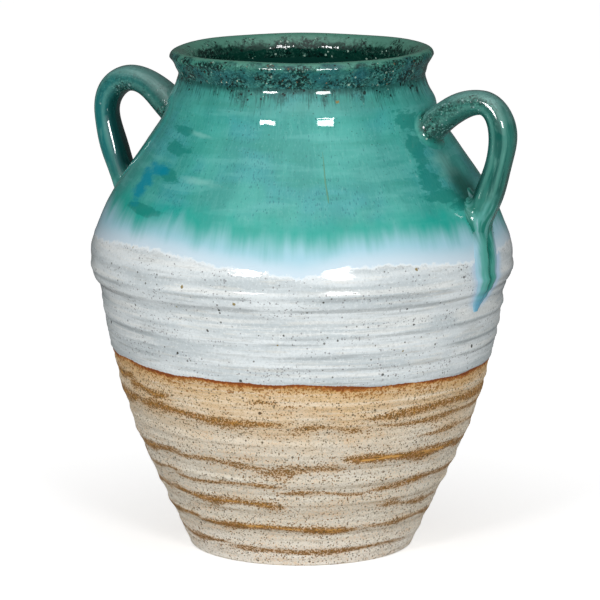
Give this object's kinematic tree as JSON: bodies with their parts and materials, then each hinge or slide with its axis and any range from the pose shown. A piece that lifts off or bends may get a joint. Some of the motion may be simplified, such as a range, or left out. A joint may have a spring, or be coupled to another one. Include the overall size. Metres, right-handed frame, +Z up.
{
  "type": "two-handled amphora vase",
  "caption": "Free-standing stoneware amphora vase: ribbed tapering foot, swelling belly, short neck with a flared lip, and an ear-shaped handle on each shoulder.",
  "frame": {"origin": "middle of the foot, on the surface that the vase stands on", "axes": "+Z up along the axis of the vase, the handles along +X and -X"},
  "size_m": [0.373, 0.3344, 0.4],
  "materials": {
    "stoneware": "white glaze over a bare sandy foot with rust streaks",
    "turquoise_glaze": "glossy, running into pale blue and white",
    "rim_glaze": "glossy dark green, speckled",
    "handle_glaze": "glossy green, speckled on the upper arc"
  },
  "bodies": {
    "root": {"lower_section": "stoneware", "upper_section": "turquoise_glaze", "rim_ring": "rim_glaze", "right_handle": "handle_glaze", "left_handle": "handle_glaze", "right_upper_coil": "handle_glaze", "left_upper_coil": "handle_glaze", "right_lower_coil": "handle_glaze", "left_lower_coil": "handle_glaze"}
  },
  "joints": []
}
